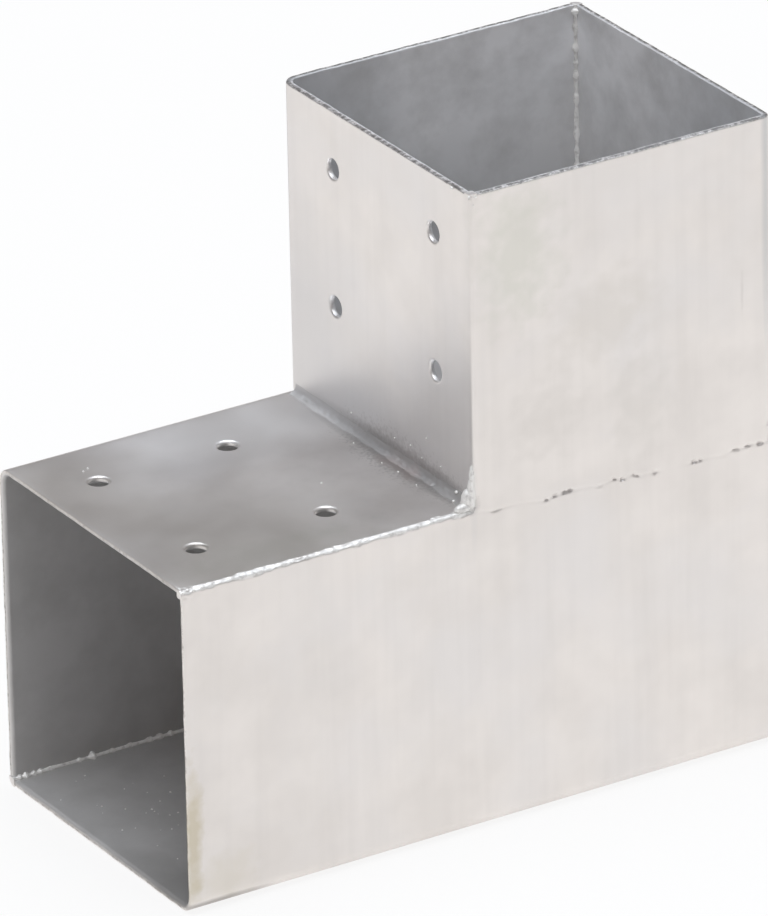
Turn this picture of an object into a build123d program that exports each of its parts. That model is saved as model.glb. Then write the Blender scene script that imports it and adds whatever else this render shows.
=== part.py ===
from build123d import *

import os
from math import sin

# L-shaped post bracket of galvanised sheet steel: a square beam sleeve lies along X, and a square
# post sleeve stands on its outer end. Each sleeve is welded from two bent angle plates.
# +X points to the end with the post sleeve, -Y is the front, +Z is up, and the origin is the
# middle of the underside. All sizes are in millimetres.

# Timber and sheet
post_size = 90.0  # square timber that each sleeve takes
post_play = 1.0  # room left across the timber inside a sleeve
sheet = 2.0  # thickness of the bent plates
bend_inside = 2.0  # inside radius of the bent corners

# Legs of the L
beam_leg = 90.0  # beam sleeve in front of the post sleeve
post_leg = 90.0  # post sleeve above the beam sleeve

# Screw holes, four on the top of the beam sleeve and four on the left of the post sleeve
hole_diameter = 6.5
hole_rim = 0.4  # width of the rim that punching and zinc have rounded off
hole_pitch_along = 40.0  # between rows, along a sleeve
hole_pitch_across = 50.0  # between columns, across a sleeve
hole_end_distance = 17.0  # open end of a sleeve to its first row
beam_hole_shift = 1.5  # the beam sleeve's holes sit this much nearer the front
post_hole_shift = 4.0  # the post sleeve's holes sit this much nearer the front

# Welds along the corners of the sleeves
root_gap = 0.6  # welded plates stop this short of each other's inside faces
corner_round = 1.2  # rounding of the ground outside edge
root_low = 0.8  # height of the root bead between its drops
root_small = 1.0  # height of its smallest drop
root_large = 1.5  # height of its largest drop
root_pitch = 6.0  # length of one drop
root_swing = 2.4  # phase step that makes neighbouring drops differ

# Welds between the sleeves
joint_bevel = 1.4  # bevel on the lower edge of the post sleeve, front and right
joint_fillet = 2.6  # leg of the fillet in the inner corner of the L
fillet_throat = 0.36  # middle of its hollow face from either wall, as a share of its leg
joint_lump = 2.8  # radius of the lump at the front end of that fillet
flare_root = 0.3  # where the back weld starts on the bend, as a share of its radius
flare_depth = 0.75  # how far it reaches down the bend, as a share of its radius

# Sizes and places that follow
inner = post_size + post_play
outer = inner + 2 * sheet
bend_outside = bend_inside + sheet
weld_leg = sheet + root_gap
length = beam_leg + outer
height = outer + post_leg
x_left, x_right = -length / 2, length / 2
x_step = x_left + beam_leg  # left face of the post sleeve
y_front, y_back = -outer / 2, outer / 2
z_seat = outer  # top of the beam sleeve, which carries the post sleeve
z_top = height
hole_radius = hole_diameter / 2
hole_row_middle = hole_end_distance + hole_pitch_along / 2

os.makedirs("parts", exist_ok=True)


def sheet_section(*corners):
    """Section of a bent sheet, from its outer line, with the sleeve's inside on the left."""
    with BuildSketch() as section:
        with BuildLine():
            FilletPolyline(*corners, radius=bend_outside)
            offset(amount=sheet, side=Side.LEFT)
        make_face()
    return section.sketch


def root_profile(run):
    """Half outline of a root bead: a row of drops of uneven height along its axis."""
    drops = max(2, round(run / root_pitch))
    step = run / drops
    with BuildSketch() as profile:
        with BuildLine():
            Polyline((root_low, 0), (0, 0), (0, run), (root_low, run))
            for i in range(drops):
                share = (1 + sin(root_swing * i)) / 2
                top = root_small + (root_large - root_small) * share
                start, end = i * step, (i + 1) * step
                ThreePointArc((root_low, start), (top, (start + end) / 2), (root_low, end))
        make_face()
    return profile.sketch


# Beam sleeve: top wall bent into the back wall
with BuildPart() as beam_top_back:
    with BuildSketch(Plane.YZ.offset(x_left)):
        add(sheet_section((y_back, weld_leg), (y_back, z_seat), (y_front + weld_leg, z_seat)))
    extrude(amount=length)
    with Locations((x_left + hole_row_middle, -beam_hole_shift, z_seat)):
        with GridLocations(hole_pitch_along, hole_pitch_across, 2, 2):
            CounterSinkHole(hole_radius, hole_radius + hole_rim, depth=sheet, counter_sink_angle=90)
beam_top_back.part.label = "beam_sleeve_top_back_plate"
export_step(beam_top_back.part, "parts/beam_sleeve_top_back_plate.step")

# Beam sleeve: front wall bent into the bottom wall
with BuildPart() as beam_front_bottom:
    with BuildSketch(Plane.YZ.offset(x_left)):
        add(sheet_section((y_front, z_seat - weld_leg), (y_front, 0), (y_back - weld_leg, 0)))
    extrude(amount=length)
beam_front_bottom.part.label = "beam_sleeve_front_bottom_plate"
export_step(beam_front_bottom.part, "parts/beam_sleeve_front_bottom_plate.step")

# Post sleeve: left wall bent into the back wall
left_wall = Plane(
    origin=(x_step, -post_hole_shift, z_top - hole_row_middle), x_dir=(0, -1, 0), z_dir=(-1, 0, 0)
)
with BuildPart() as post_left_back:
    with BuildSketch(Plane.XY.offset(z_seat)):
        add(sheet_section((x_right - weld_leg, y_back), (x_step, y_back), (x_step, y_front + weld_leg)))
    extrude(amount=post_leg)
    with Locations(left_wall):
        with GridLocations(hole_pitch_across, hole_pitch_along, 2, 2):
            CounterSinkHole(hole_radius, hole_radius + hole_rim, depth=sheet, counter_sink_angle=90)
post_left_back.part.label = "post_sleeve_left_back_plate"
export_step(post_left_back.part, "parts/post_sleeve_left_back_plate.step")

# Post sleeve: front wall bent into the right wall, with its lower outside edge bevelled for the weld
front_right_section = sheet_section(
    (x_step + weld_leg, y_front), (x_right, y_front), (x_right, y_back - weld_leg)
)
with BuildPart() as post_front_right:
    with BuildSketch(Plane.XY.offset(z_seat)):
        add(front_right_section)
    extrude(amount=post_leg)
    lower_edges = edges().group_by(Axis.Z)[0]
    front_edge = lower_edges.filter_by(Axis.X).sort_by(Axis.Y)[0]
    right_edge = lower_edges.filter_by(Axis.Y).sort_by(Axis.X)[-1]
    bend_edge = lower_edges.filter_by(GeomType.CIRCLE).sort_by(SortBy.LENGTH)[-1]
    chamfer([front_edge, bend_edge, right_edge], joint_bevel)
post_front_right.part.label = "post_sleeve_front_right_plate"
export_step(post_front_right.part, "parts/post_sleeve_front_right_plate.step")

# Corner welds: a bar that fills the open corner, rounded where it is ground, and a root bead inside.
# Each plane stands at the outside corner with its x and y pointing into the sleeve.
corner_welds = {
    "beam_sleeve_top_front_weld": (
        Plane(origin=(x_left, y_front, z_seat), x_dir=(0, 0, -1), z_dir=(1, 0, 0)), length, beam_leg
    ),
    "beam_sleeve_bottom_back_weld": (
        Plane(origin=(x_left, y_back, 0), x_dir=(0, 0, 1), z_dir=(1, 0, 0)), length, length
    ),
    "post_sleeve_front_left_weld": (
        Plane(origin=(x_step, y_front, z_seat), x_dir=(1, 0, 0), z_dir=(0, 0, 1)), post_leg, post_leg
    ),
    "post_sleeve_back_right_weld": (
        Plane(origin=(x_right, y_back, z_seat), x_dir=(-1, 0, 0), z_dir=(0, 0, 1)), post_leg, post_leg
    ),
}
for name, (corner, run, ground_run) in corner_welds.items():
    root_line = Axis(corner.from_local_coords((sheet, sheet, 0)), corner.z_dir)
    profile_plane = Plane(origin=root_line.position, x_dir=corner.x_dir, z_dir=-corner.y_dir)
    with BuildPart() as corner_weld:
        with BuildSketch(corner) as ground:
            Rectangle(weld_leg, weld_leg, align=(Align.MIN, Align.MIN))
            fillet(ground.vertices().sort_by_distance((0, 0, 0))[0], corner_round)
        extrude(amount=ground_run)
        if run > ground_run:
            with BuildSketch(corner.offset(ground_run)):
                Rectangle(weld_leg, weld_leg, align=(Align.MIN, Align.MIN))
            extrude(amount=run - ground_run)
        with BuildSketch(profile_plane):
            add(root_profile(run))
        revolve(axis=root_line, revolution_arc=90)
    corner_weld.part.label = name
    export_step(corner_weld.part, f"parts/{name}.step")

# Joint weld round the front and right of the post sleeve: fills the bevel, ground flush
with BuildPart() as joint_front_right:
    with BuildSketch(Plane.XY.offset(z_seat)):
        add(front_right_section)
    extrude(amount=joint_bevel)
    add(post_front_right.part, mode=Mode.SUBTRACT)
joint_front_right.part.label = "joint_front_right_weld"
export_step(joint_front_right.part, "parts/joint_front_right_weld.step")

# Joint weld at the back: fills the hollow under the back wall, over the bend of the beam sleeve
with BuildPart() as joint_back:
    with BuildSketch(Plane.XY.offset(z_seat)) as footprint:
        with Locations((x_right, y_back)):
            Rectangle(outer, bend_outside, align=(Align.MAX, Align.MAX))
        fillet(footprint.vertices().sort_by_distance((x_step, y_back, 0))[0], bend_outside)
        with Locations((x_right, y_back)):
            Rectangle(
                outer, bend_outside * (1 - flare_root), align=(Align.MAX, Align.MAX), mode=Mode.INTERSECT
            )
    extrude(amount=-bend_outside * flare_depth)
    with BuildSketch(Plane.YZ.offset(x_left)) as beam_outline:
        with Locations((0, z_seat / 2)):
            Rectangle(outer, outer)
        fillet(beam_outline.vertices().sort_by_distance((y_back, z_seat, 0))[0], bend_outside)
    extrude(amount=length, mode=Mode.SUBTRACT)
joint_back.part.label = "joint_back_weld"
export_step(joint_back.part, "parts/joint_back_weld.step")

# Joint weld in the inner corner of the L: a hollow fillet with a lump at its front end
y_fillet_front = y_front + corner_round
y_fillet_back = y_back - bend_outside
fillet_plane = Plane(origin=(x_step, y_fillet_back, z_seat), x_dir=(1, 0, 0), z_dir=(0, -1, 0))
hollow = joint_fillet * fillet_throat
with BuildPart() as joint_left:
    with Locations((x_step, y_fillet_front, z_seat)):
        Sphere(joint_lump)
        Box(joint_lump, joint_lump, joint_lump, align=(Align.MAX, Align.MIN, Align.MIN), mode=Mode.INTERSECT)
    with BuildSketch(fillet_plane):
        with BuildLine():
            Polyline((0, joint_fillet), (0, 0), (-joint_fillet, 0))
            ThreePointArc((-joint_fillet, 0), (-hollow, hollow), (0, joint_fillet))
        make_face()
    extrude(amount=y_fillet_back - y_fillet_front)
joint_left.part.label = "joint_left_fillet_weld"
export_step(joint_left.part, "parts/joint_left_fillet_weld.step")
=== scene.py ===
"""L-shaped post bracket of galvanised sheet steel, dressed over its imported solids.

Two square sleeves, a lying beam sleeve and a standing post sleeve, are each welded from two bent
angle plates. +X points to the end with the post sleeve, -Y is the front, +Z is up. Metres.
"""

import logging
from dataclasses import dataclass, field
from enum import Enum
from math import cos, pi, radians, sin

import bpy
import bmesh
import numpy as np
from mathutils import Matrix, Vector


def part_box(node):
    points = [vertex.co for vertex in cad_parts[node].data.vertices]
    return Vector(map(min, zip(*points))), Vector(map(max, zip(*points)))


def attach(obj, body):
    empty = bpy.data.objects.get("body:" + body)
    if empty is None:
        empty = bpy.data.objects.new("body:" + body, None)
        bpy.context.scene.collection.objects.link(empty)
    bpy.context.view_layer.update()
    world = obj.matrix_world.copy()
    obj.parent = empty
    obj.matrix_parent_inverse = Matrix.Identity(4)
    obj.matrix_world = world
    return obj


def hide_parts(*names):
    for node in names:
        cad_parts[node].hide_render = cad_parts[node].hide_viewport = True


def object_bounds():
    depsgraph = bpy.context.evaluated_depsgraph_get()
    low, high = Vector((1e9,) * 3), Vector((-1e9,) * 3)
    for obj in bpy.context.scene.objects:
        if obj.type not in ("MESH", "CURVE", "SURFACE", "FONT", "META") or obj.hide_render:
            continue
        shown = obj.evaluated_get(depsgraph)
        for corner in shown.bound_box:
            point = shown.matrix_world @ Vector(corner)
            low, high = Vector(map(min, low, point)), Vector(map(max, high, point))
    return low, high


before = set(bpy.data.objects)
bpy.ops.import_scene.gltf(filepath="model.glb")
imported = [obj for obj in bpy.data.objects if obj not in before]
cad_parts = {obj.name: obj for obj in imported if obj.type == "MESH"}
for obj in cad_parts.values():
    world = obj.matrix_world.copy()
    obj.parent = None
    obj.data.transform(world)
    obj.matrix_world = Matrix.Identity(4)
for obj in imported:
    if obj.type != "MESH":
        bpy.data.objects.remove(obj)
CAD_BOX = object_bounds()

MM = 0.001
log = logging.getLogger("post_bracket")

# Sheet and welds, at the sizes of the solids apart from the bends and holes, which follow the photo
SHEET = 2.0 * MM
BEND_OUTSIDE = 5.0 * MM
CRISP_BEND = 3.0 * MM  # the post sleeve's front right bend
WELD_LEG = 2.6 * MM  # a corner weld's bar, from the outside corner along either wall
CORNER_ROUND = 1.2 * MM  # where a corner weld is ground to a crisp edge
SOFT_ROUND = 2.5 * MM  # where it is ground rounder, at the back
JOINT_BEVEL = 1.4 * MM
HOLE_RADIUS = 2.85 * MM  # narrower than the solids', where zinc has rounded the rim further in
HOLE_RIM = 0.8 * MM  # width of the rounding round a hole

QUARTER = pi / 2  # a quarter turn
NOISE_RANGE = (0.3, 0.7)  # where most values of a noise texture lie

Pair = tuple[float, float]
Triple = tuple[float, float, float]
Blob = tuple[Triple, Triple]  # a drop's centre and radii, in millimetres
Face = tuple[int, ...]
Values = float | np.ndarray


def points_at(x: Values, y: Values, z: Values) -> np.ndarray:
    """Points in space from three coordinates, of which some may be the same for all points."""
    return np.stack(np.broadcast_arrays(x, y, z), axis=-1)


def stations(run: Pair, step: float) -> np.ndarray:
    """Places along a weld's run, about a step apart."""
    return np.linspace(*run, round((run[1] - run[0]) / step) + 1)


def band(one: np.ndarray, two: np.ndarray) -> list[Face]:
    """Faces between two closed loops with the same number of points."""
    return list(zip(one, np.roll(one, -1), np.roll(two, -1), two))


class Way(Enum):
    """How a sleeve lies in the frame, and so what its section and its run are."""

    LYING = "section in Y and Z, run along X"
    STANDING = "section in X and Y, run along Z"

    def place(self, a: np.ndarray, b: np.ndarray, run: np.ndarray) -> np.ndarray:
        """Points in space from a section's two coordinates and the place along the run."""
        return points_at(run, a, b) if self is Way.LYING else points_at(a, b, run)


class EdgeForm(Enum):
    """How an edge of the sheet is finished."""

    CUT = "sheared, with the zinc rounding it off"
    BUTT = "square, against a weld"
    BEVEL = "bevelled outside, for a weld"
    RIM = "punched hole, rounded outside"


class ValueNoise:
    """Smooth seeded noise in space, from -1 to 1."""

    SIDE = 48  # cells along each side of the lattice, which repeats past them

    def __init__(self, seed: int) -> None:
        """Fills the lattice.

        Args:
            seed: the lattice's random seed.
        """
        random = np.random.default_rng(seed)
        self.lattice = random.uniform(-1, 1, (self.SIDE,) * 3)

    def at(self, points: np.ndarray, cell: float | Triple) -> np.ndarray:
        """Noise at each point.

        Args:
            points: places in metres, with x, y and z last.
            cell: size of the noise's lumps in metres, one for all axes or one for each.

        Returns:
            One value for each point.
        """
        scaled = np.asarray(points) / np.asarray(cell)
        low = np.floor(scaled).astype(int)
        share = scaled - low
        share = share * share * (3 - 2 * share)
        total = np.zeros(scaled.shape[:-1])
        for corner in np.ndindex(2, 2, 2):
            weight = np.prod(np.where(corner, share, 1 - share), axis=-1)
            index = (low + corner) % self.SIDE
            total += weight * self.lattice[index[..., 0], index[..., 1], index[..., 2]]
        return total

    def layers(self, points: np.ndarray, *layers: Pair) -> np.ndarray:
        """Sum of the noise in lumps of several sizes, from pairs of strength and size."""
        return sum(strength * self.at(points, cell) for strength, cell in layers)


def smooth_step(values: np.ndarray, low: float, high: float) -> np.ndarray:
    """Eases values from 0 at low to 1 at high."""
    share = np.clip((values - low) / (high - low), 0, 1)
    return share * share * (3 - 2 * share)


@dataclass(frozen=True)
class Mark:
    """One mark in a wall's outside: a hollow, a lump or a rough spot round a point."""

    centre: Triple
    reach: Triple
    depth: float
    tilt: float = 0.0  # its turn as seen from the front
    grain: float = 0.0  # size of the lumps in a rough spot

    CORE = 0.3  # share of the reach that has the full depth
    FINE = 0.6  # strength of the grain at half its size

    def sunk(self, points: np.ndarray, noise: ValueNoise) -> np.ndarray:
        """How far this mark sinks the wall at each point, or raises it where negative.

        Args:
            points: places in metres.
            noise: the noise that breaks up a rough spot.

        Returns:
            One depth in metres for each point.
        """
        x, y, z = (points[..., i] - self.centre[i] for i in range(3))
        c, s = cos(self.tilt), sin(self.tilt)
        x, z = x * c + z * s, z * c - x * s
        far = np.sqrt(sum((d / r) ** 2 for d, r in zip((x, y, z), self.reach)))
        depth = self.depth * (1 - smooth_step(far, self.CORE, 1.0))
        if self.grain:
            layers = (1.0, self.grain), (self.FINE, self.grain / 2)
            depth = depth * (1 + noise.layers(points, *layers)) / 2
        return depth


def mm_mark(centre: Triple, reach: Triple, depth: float, tilt: float = 0.0, grain: float = 0.0) -> Mark:
    """A mark from sizes in millimetres and a tilt in degrees."""
    centre, reach = (tuple(value * MM for value in values) for values in (centre, reach))
    return Mark(centre, reach, depth * MM, radians(tilt), grain * MM)


@dataclass
class Relief:
    """Unevenness of the outside, the same for every piece that meets at a place."""

    front: float
    left: float
    seat: float  # height at which the post sleeve stands on the beam sleeve
    top: float
    step: float  # the post sleeve's left wall, where the top steps up
    zinc: float = 0.10 * MM  # walls lie this far inside the box, so that lumps can stand proud
    wave: float = 0.06 * MM
    wave_cell: float = 34 * MM
    seam_share: float = 0.6  # how much of the joint's line grinding left open
    noise: ValueNoise = field(default_factory=lambda: ValueNoise(seed=11))

    # The joint's line on the front, where grinding left a faint groove: x, z and depth, in millimetres
    SEAM = (
        (-4.0, 94.3, 0.16), (-0.5, 93.6, 0.10), (3.4, 92.8, 0.16), (8.7, 92.9, 0.14), (12.4, 92.7, 0.07),
        (16.0, 92.0, 0.10), (20.1, 91.6, 0.20), (22.7, 92.1, 0.22), (25.9, 92.3, 0.26), (27.7, 92.3, 0.24),
        (31.6, 92.1, 0.13), (34.5, 91.9, 0.12), (36.7, 91.3, 0.12), (41.6, 92.1, 0.18), (44.2, 91.3, 0.22),
        (47.2, 92.1, 0.20), (49.5, 90.9, 0.18), (54.4, 90.8, 0.16), (58.0, 90.6, 0.03), (63.0, 90.4, 0.03),
        (66.9, 90.5, 0.24), (68.8, 90.4, 0.22), (70.7, 90.6, 0.14), (76.3, 89.9, 0.10), (79.2, 90.8, 0.16),
        (83.4, 90.5, 0.18), (85.7, 90.9, 0.18), (88.6, 90.3, 0.24), (90.7, 90.8, 0.26), (93.0, 91.2, 0.2),
    )
    SEAM_REACH = 0.75 * MM
    SEAM_CORE = 0.1  # share of that reach that has the full depth
    # Pits that grinding left open along that line: x, z, length, height, depth and tilt in degrees
    SEAM_PITS = (
        (4.4, 92.8, 5.0, 1.3, 0.20, 2), (20.1, 91.6, 2.0, 1.1, 0.30, -10), (22.8, 92.1, 2.8, 1.0, 0.22, 4),
        (25.9, 92.3, 1.9, 1.3, 0.45, 0), (27.6, 92.4, 1.7, 1.3, 0.45, 10), (36.8, 91.3, 3.0, 0.9, 0.16, 2),
        (41.6, 92.1, 2.1, 1.0, 0.26, -4), (44.2, 91.3, 2.1, 1.2, 0.45, 0), (48.3, 91.5, 3.8, 1.1, 0.3, -24),
        (54.4, 90.8, 2.4, 2.2, 0.30, 0), (66.9, 90.5, 2.2, 1.3, 0.45, 0), (68.9, 90.5, 1.6, 1.1, 0.34, 10),
        (80.4, 90.6, 4.4, 1.0, 0.24, -4), (84.2, 90.8, 3.8, 1.0, 0.30, 10), (87.9, 90.4, 2.8, 1.3, 0.5, 0),
        (91.3, 91.4, 1.6, 5.0, 0.5, 0),
    )
    OTHER_SIDE = 0.5  # shift in the noise that gives the inside a shape of its own

    def __post_init__(self) -> None:
        """Places the marks on the walls."""
        front, left = self.front / MM, self.left / MM
        seat, top, step = self.seat / MM, self.top / MM, self.step / MM
        marks = [
            mm_mark((x, front, z), (length / 2, 1.0, height / 2), depth, tilt)
            for x, z, length, height, depth, tilt in self.SEAM_PITS
        ]
        marks += [
            # Small dents in the fronts of the post sleeve and the beam sleeve
            mm_mark((48.7, front, 126.2), (0.9, 1.0, 0.9), 0.16),
            mm_mark((-2.3, front, 19.5), (0.9, 1.0, 0.7), 0.16),
            # Rough weld ends at the corners of the beam sleeve's and the post sleeve's mouths
            mm_mark((left, front, seat), (7, 5, 8), 0.42, grain=1.5),
            mm_mark((step, front, top), (3.5, 3.5, 4), 0.36, grain=1.4),
            # Ragged edge of the front wall at the beam sleeve's mouth
            mm_mark((left, front, seat - 45), (1.6, 2, 16), 0.36, grain=1.3),
            mm_mark((left, front, 20), (1.6, 2, 22), 0.40, grain=1.2),
            # Grainy stretches of both walls beside the fillet in the inner corner
            mm_mark((step - 2, 6, seat + 1), (8, 18, 8), 0.14, grain=1.6),
            mm_mark((step - 2, -22, seat + 1), (7, 18, 7), 0.16, grain=1.2),
            # Bright drops at the corner of the post sleeve's mouth
            mm_mark((step + 3.2, front, top - 0.6), (2.4, 1.6, 1.1), -0.10, -20),
            mm_mark((step + 1.0, front, top - 4.0), (0.8, 1.6, 2.0), -0.10),
        ]
        self.marks = marks
        self.seam = [np.array(column) * MM for column in zip(*self.SEAM)]

    def groove(self, points: np.ndarray) -> np.ndarray:
        """How far the joint's line on the front is sunk.

        Args:
            points: places in metres.

        Returns:
            One depth in metres for each point.
        """
        x, line, depth = self.seam
        far = np.abs(points[..., 2] - np.interp(points[..., 0], x, line)) / self.SEAM_REACH
        deep = self.seam_share * np.interp(points[..., 0], x, depth)
        deep = deep * (1 - smooth_step(far, self.SEAM_CORE, 1.0))
        return deep * (points[..., 1] < self.front + MM) * (points[..., 0] > self.step)

    def outside(self, points: np.ndarray) -> np.ndarray:
        """How far the outside of the sheet is sunk.

        Args:
            points: places in metres.

        Returns:
            One depth in metres for each point.
        """
        sunk = self.zinc + self.wave * (1 + self.noise.at(points, self.wave_cell)) / 2
        for mark in self.marks:
            sunk = sunk + mark.sunk(points, self.noise)
        return np.maximum(sunk + self.groove(points), 0)

    def inside(self, points: np.ndarray) -> np.ndarray:
        """How far the inside of the sheet is sunk at each point."""
        return self.wave * (1 + self.noise.at(points + self.OTHER_SIDE, self.wave_cell)) / 2


def set_values(made: bpy.types.Object, name: str, values: np.ndarray) -> None:
    """Stores one value for each point of a piece, for its material to read."""
    layer = made.data.attributes.new(name, "FLOAT", "POINT")
    layer.data.foreach_set("value", np.asarray(values, np.float32).ravel())


def make_object(name: str, points: np.ndarray, faces: list[Face], sharp: float) -> bpy.types.Object:
    """Makes a closed mesh object with its faces turned outwards.

    Args:
        name: the piece's name.
        points: its corners in metres.
        faces: its faces, as indexes of corners.
        sharp: edges that turn by more than this angle are shaded sharp.

    Returns:
        The object, linked to the scene.
    """
    mesh = bpy.data.meshes.new(name)
    mesh.from_pydata(points.reshape(-1, 3).tolist(), [], faces)
    work = bmesh.new()
    work.from_mesh(mesh)
    bmesh.ops.recalc_face_normals(work, faces=work.faces)
    work.to_mesh(mesh)
    work.free()
    mesh.shade_smooth()
    mesh.set_sharp_from_angle(angle=sharp)
    made = bpy.data.objects.new(name, mesh)
    bpy.context.scene.collection.objects.link(made)
    return made


def grid_lines(start: float, end: float, spacing: float, zones: list[Triple]) -> np.ndarray:
    """Lines of a grid from start to end, closer together where a zone says so.

    Args:
        start: first line.
        end: last line.
        spacing: spacing outside the zones.
        zones: start, end and spacing of each finer stretch.

    Returns:
        The lines' places, which include both ends of every zone.
    """
    limits = [min(max(value, start), end) for zone in zones for value in zone[:2]]
    breaks = np.unique(np.round([start, end] + limits, 8))
    parts = []
    for low, high in zip(breaks, breaks[1:]):
        middle = (low + high) / 2
        finest = min([spacing] + [zone[2] for zone in zones if zone[0] < middle < zone[1]])
        parts.append(np.linspace(low, high, max(1, round((high - low) / finest)), endpoint=False))
    return np.concatenate(parts + [breaks[-1:]])


@dataclass
class AnglePlate:
    """One bent plate: two walls and the bend between them, as a fine closed mesh."""

    name: str
    node: str
    way: Way
    corners: tuple[Pair, Pair, Pair]  # its outer line, with the section's two ends and its bend
    run: Pair
    relief: Relief
    holes: tuple[Pair, ...] = ()
    bend: float = BEND_OUTSIDE
    low_end: EdgeForm = EdgeForm.CUT
    high_end: EdgeForm = EdgeForm.CUT
    # painted shade on the inside, at the mouth and deep down
    inside_shade: Pair = (0.0, 0.0)
    mouth: float = 0.0  # the open end from which the inside is looked into
    spacing_across: float = 1.0 * MM
    spacing_along: float = 1.5 * MM
    zones_across: tuple[Triple, ...] = ()
    zones_along: tuple[Triple, ...] = ()
    outer_round: float = 0.5 * MM  # the cut ends' edges, as shearing and zinc leave them
    inner_round: float = 0.7 * MM
    burr: float = 0.16 * MM  # how far a ragged cut end is drawn back on average
    burr_reach: float = 0.8 * MM  # distance from the end over which that fades
    grit: float = 1.0  # how gritty the cut ends look
    hole_block: float = 7.0 * MM  # half the side of the square round a hole that rings fill
    hole_rings: int = 8
    noise: ValueNoise = field(default_factory=lambda: ValueNoise(seed=23))

    ARC_STEPS = 4
    BEND_STEPS = 9
    LIP = 0.1 * MM  # flat strip between an edge's rounding and the grid
    END_SPACING = 0.3 * MM  # from an end to the grid's next line
    HOLE_SPACING = 1.0 * MM
    BURR_LAYERS = ((0.45, 1.4 * MM), (0.5, 5.0 * MM))  # strength and length of the burr's waves
    INSIDE_DEPTHS = (0.35 * SHEET, 0.95 * SHEET)  # between them an edge turns to the inside's finish and painted shade
    DEEP = 55 * MM  # from the mouth to where the painted shade inside reaches its deep-down strength
    SHARP = radians(38)  # edges that turn by more are shaded sharp

    def __post_init__(self) -> None:
        """Works out the section's straight and bent stretches."""
        start, bend, end = (np.array(corner) for corner in self.corners)
        way_in, way_out = bend - start, end - bend
        self.first = np.linalg.norm(way_in) - self.bend
        self.last = np.linalg.norm(way_out) - self.bend
        self.way_in = way_in / np.linalg.norm(way_in)
        self.way_out = way_out / np.linalg.norm(way_out)
        self.bend_run = (self.bend - SHEET / 2) * QUARTER
        self.second = self.first + self.bend_run
        self.width = self.second + self.last
        self.centre = bend + (self.way_out - self.way_in) * self.bend

    def form(self, edge: EdgeForm) -> list[Pair]:
        """An edge's profile from the outside to the inside of the sheet.

        Args:
            edge: the edge's finish.

        Returns:
            Pairs of how far in from the edge and how deep in the sheet each point lies.
        """
        turn = [QUARTER * i / self.ARC_STEPS for i in range(self.ARC_STEPS + 1)]
        count = 2 * len(turn) + 3
        if edge is EdgeForm.BUTT:
            return [(0.0, SHEET * i / (count - 1)) for i in range(count)]
        if edge is EdgeForm.BEVEL:
            slope = [i / len(turn) * JOINT_BEVEL for i in range(len(turn) + 1)]
            outside = [(JOINT_BEVEL - d, d) for d in slope]
            inside = [(d, SHEET) for d in slope]
            return outside + [(0.0, (JOINT_BEVEL + SHEET) / 2)] + inside
        outer, inner = (HOLE_RIM,) * 2 if edge is EdgeForm.RIM else (self.outer_round, self.inner_round)
        inset = max(outer, inner) + self.LIP
        outside = [(inset, 0.0)] + [(outer * (1 - sin(a)), outer * (1 - cos(a))) for a in turn]
        inside = [(inner * (1 - sin(a)), SHEET - inner * (1 - cos(a))) for a in reversed(turn)]
        return outside + [(0.0, SHEET / 2)] + inside + [(inset, SHEET)]

    def rim_share(self, along: np.ndarray) -> np.ndarray:
        """Nearness of a cut end.

        Args:
            along: places along the sleeve's run.

        Returns:
            For each place a share, from 0 on the wall to 1 on the end itself.
        """
        near = np.zeros(along.shape)
        for form, end in zip((self.low_end, self.high_end), self.run):
            if form is EdgeForm.CUT:
                near = np.maximum(near, np.exp(-np.abs(along - end) / self.burr_reach))
        return near

    def solid(self, across: np.ndarray, along: np.ndarray, depth: np.ndarray) -> np.ndarray:
        """Points in space from places on the flat sheet.

        Args:
            across: distance along the section's outer line, from its start.
            along: place along the sleeve's run.
            depth: distance in from the outside of the sheet.

        Returns:
            The points, with the sheet's unevenness in them.
        """
        turn = np.clip((across - self.first) / self.bend_run, 0, 1) * QUARTER
        inward = np.cos(turn)[..., None] * self.way_out - np.sin(turn)[..., None] * self.way_in
        before = np.minimum(across - self.first, 0)[..., None] * self.way_in
        after = np.maximum(across - self.second, 0)[..., None] * self.way_out
        section = self.centre - inward * self.bend + before + after
        place = self.way.place(section[..., 0], section[..., 1], along)
        ragged = 1 + self.noise.layers(place, *self.BURR_LAYERS)
        middle = (self.run[0] + self.run[1]) / 2
        along = along + self.burr * ragged * self.rim_share(along) * np.sign(middle - along)
        outer_sunk = self.relief.outside(place) * (1 - depth / SHEET)
        facing = section + inward * SHEET
        inner = self.way.place(facing[..., 0], facing[..., 1], along)
        inner_sunk = self.relief.inside(inner) * depth / SHEET
        section = section + inward * (depth + outer_sunk - inner_sunk)[..., None]
        return self.way.place(section[..., 0], section[..., 1], along)

    def grid(self, ends: Pair) -> tuple[np.ndarray, np.ndarray]:
        """Lines of the plate's fine grid, closer together at the bend, the ends and the holes.

        Args:
            ends: where the flat wall ends along the run.

        Returns:
            The lines' places across the plate and along it.
        """
        block, lip = self.hole_block, self.END_SPACING
        across_zones = [(self.first, self.second, self.bend_run / self.BEND_STEPS), *self.zones_across]
        across_zones += [(a - block, a + block, self.HOLE_SPACING) for a, _ in self.holes]
        along_zones = [(ends[0], ends[0] + lip, lip), (ends[1] - lip, ends[1], lip), *self.zones_along]
        along_zones += [(t - block, t + block, self.HOLE_SPACING) for _, t in self.holes]
        across = grid_lines(0.0, self.width, self.spacing_across, across_zones)
        return across, grid_lines(*ends, self.spacing_along, along_zones)

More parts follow.
